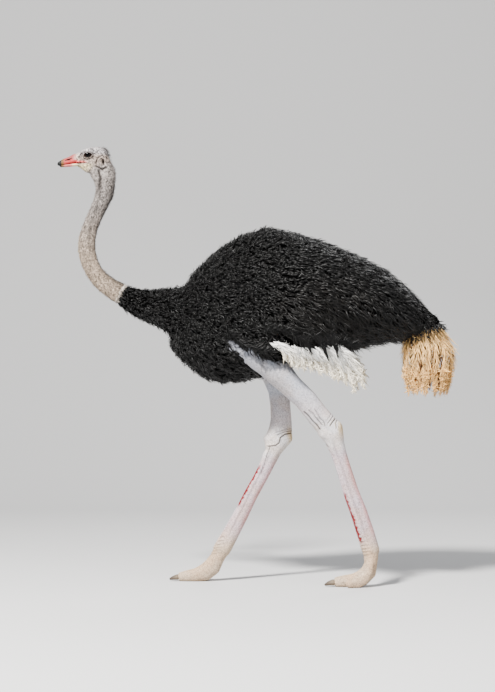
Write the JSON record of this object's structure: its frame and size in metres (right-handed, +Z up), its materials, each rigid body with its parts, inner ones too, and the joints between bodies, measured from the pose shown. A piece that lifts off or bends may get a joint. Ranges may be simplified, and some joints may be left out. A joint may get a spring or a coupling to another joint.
{
  "type": "ostrich",
  "caption": "Still life-size model of a cock ostrich in mid stride: tall bare neck and legs, round black-plumed body, white wing plumes and drooping tan tail plumes.",
  "frame": {"origin": "on the floor, under the middle of the whole bird's box", "axes": "+Z up; the bird walks towards -X, from the tail at +X to the bill at -X; its left side faces -Y"},
  "size_m": [1.5812, 0.5634, 1.7492],
  "materials": {
    "neck_down": "short whitish-tan down over skin",
    "black_plumage": "loose black feathers with a soft sheen",
    "white_plumage": "loose off-white plumes",
    "tan_plumage": "curly dusty tan plumes",
    "bare_skin": "bare creased grey skin, dusty towards the feet",
    "bill": "pink horn with a dark nail at the tip",
    "claw": "dark horn",
    "eye": "wet dark brown eye"
  },
  "bodies": {
    "root": {"bill_lower": "bill", "bill_upper": "bill", "claw_left": "claw", "claw_right": "claw", "eye_left": "eye", "eye_right": "eye", "foot_left": "bare_skin", "foot_right": "bare_skin", "head": "neck_down", "hock_left": "bare_skin", "hock_right": "bare_skin", "neck_base": "black_plumage", "neck_lower": "neck_down", "neck_middle": "neck_down", "neck_upper": "neck_down", "shank_left": "bare_skin", "shank_right": "bare_skin", "tail_plumes": "tan_plumage", "tarsus_left": "bare_skin", "tarsus_right": "bare_skin", "thigh_left": "bare_skin", "thigh_right": "bare_skin", "toe_inner_left": "bare_skin", "toe_inner_right": "bare_skin", "toe_outer_left": "bare_skin", "toe_outer_right": "bare_skin", "trunk": "black_plumage", "wing_left": "black_plumage", "wing_plumes_left": "white_plumage", "wing_plumes_right": "white_plumage", "wing_right": "black_plumage"}
  },
  "joints": []
}
